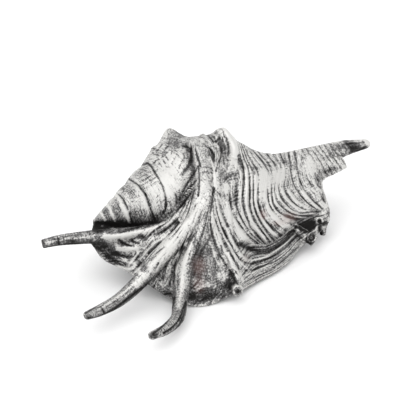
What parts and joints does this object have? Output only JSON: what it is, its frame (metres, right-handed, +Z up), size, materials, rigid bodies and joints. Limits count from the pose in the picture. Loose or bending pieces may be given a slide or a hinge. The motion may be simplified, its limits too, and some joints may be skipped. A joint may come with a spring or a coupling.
{
  "type": "spider conch seashell",
  "caption": "Spider conch seashell clad in silver, with a stepped spire, a flared lip drawn out into long spines and a tapering canal; a free-standing ornament.",
  "frame": {"origin": "middle of the bounding box at the height of the ground that the shell rests on", "axes": "+X along the coiling axis from the spire to the canal, -Y towards the flared lip's edge, +Z up from the ground"},
  "size_m": [0.2212, 0.1292, 0.071],
  "materials": {
    "silver": "polished silver on the crests with a blackened patina in the recesses"
  },
  "bodies": {
    "root": {"silver_seashell": "silver"}
  },
  "joints": []
}
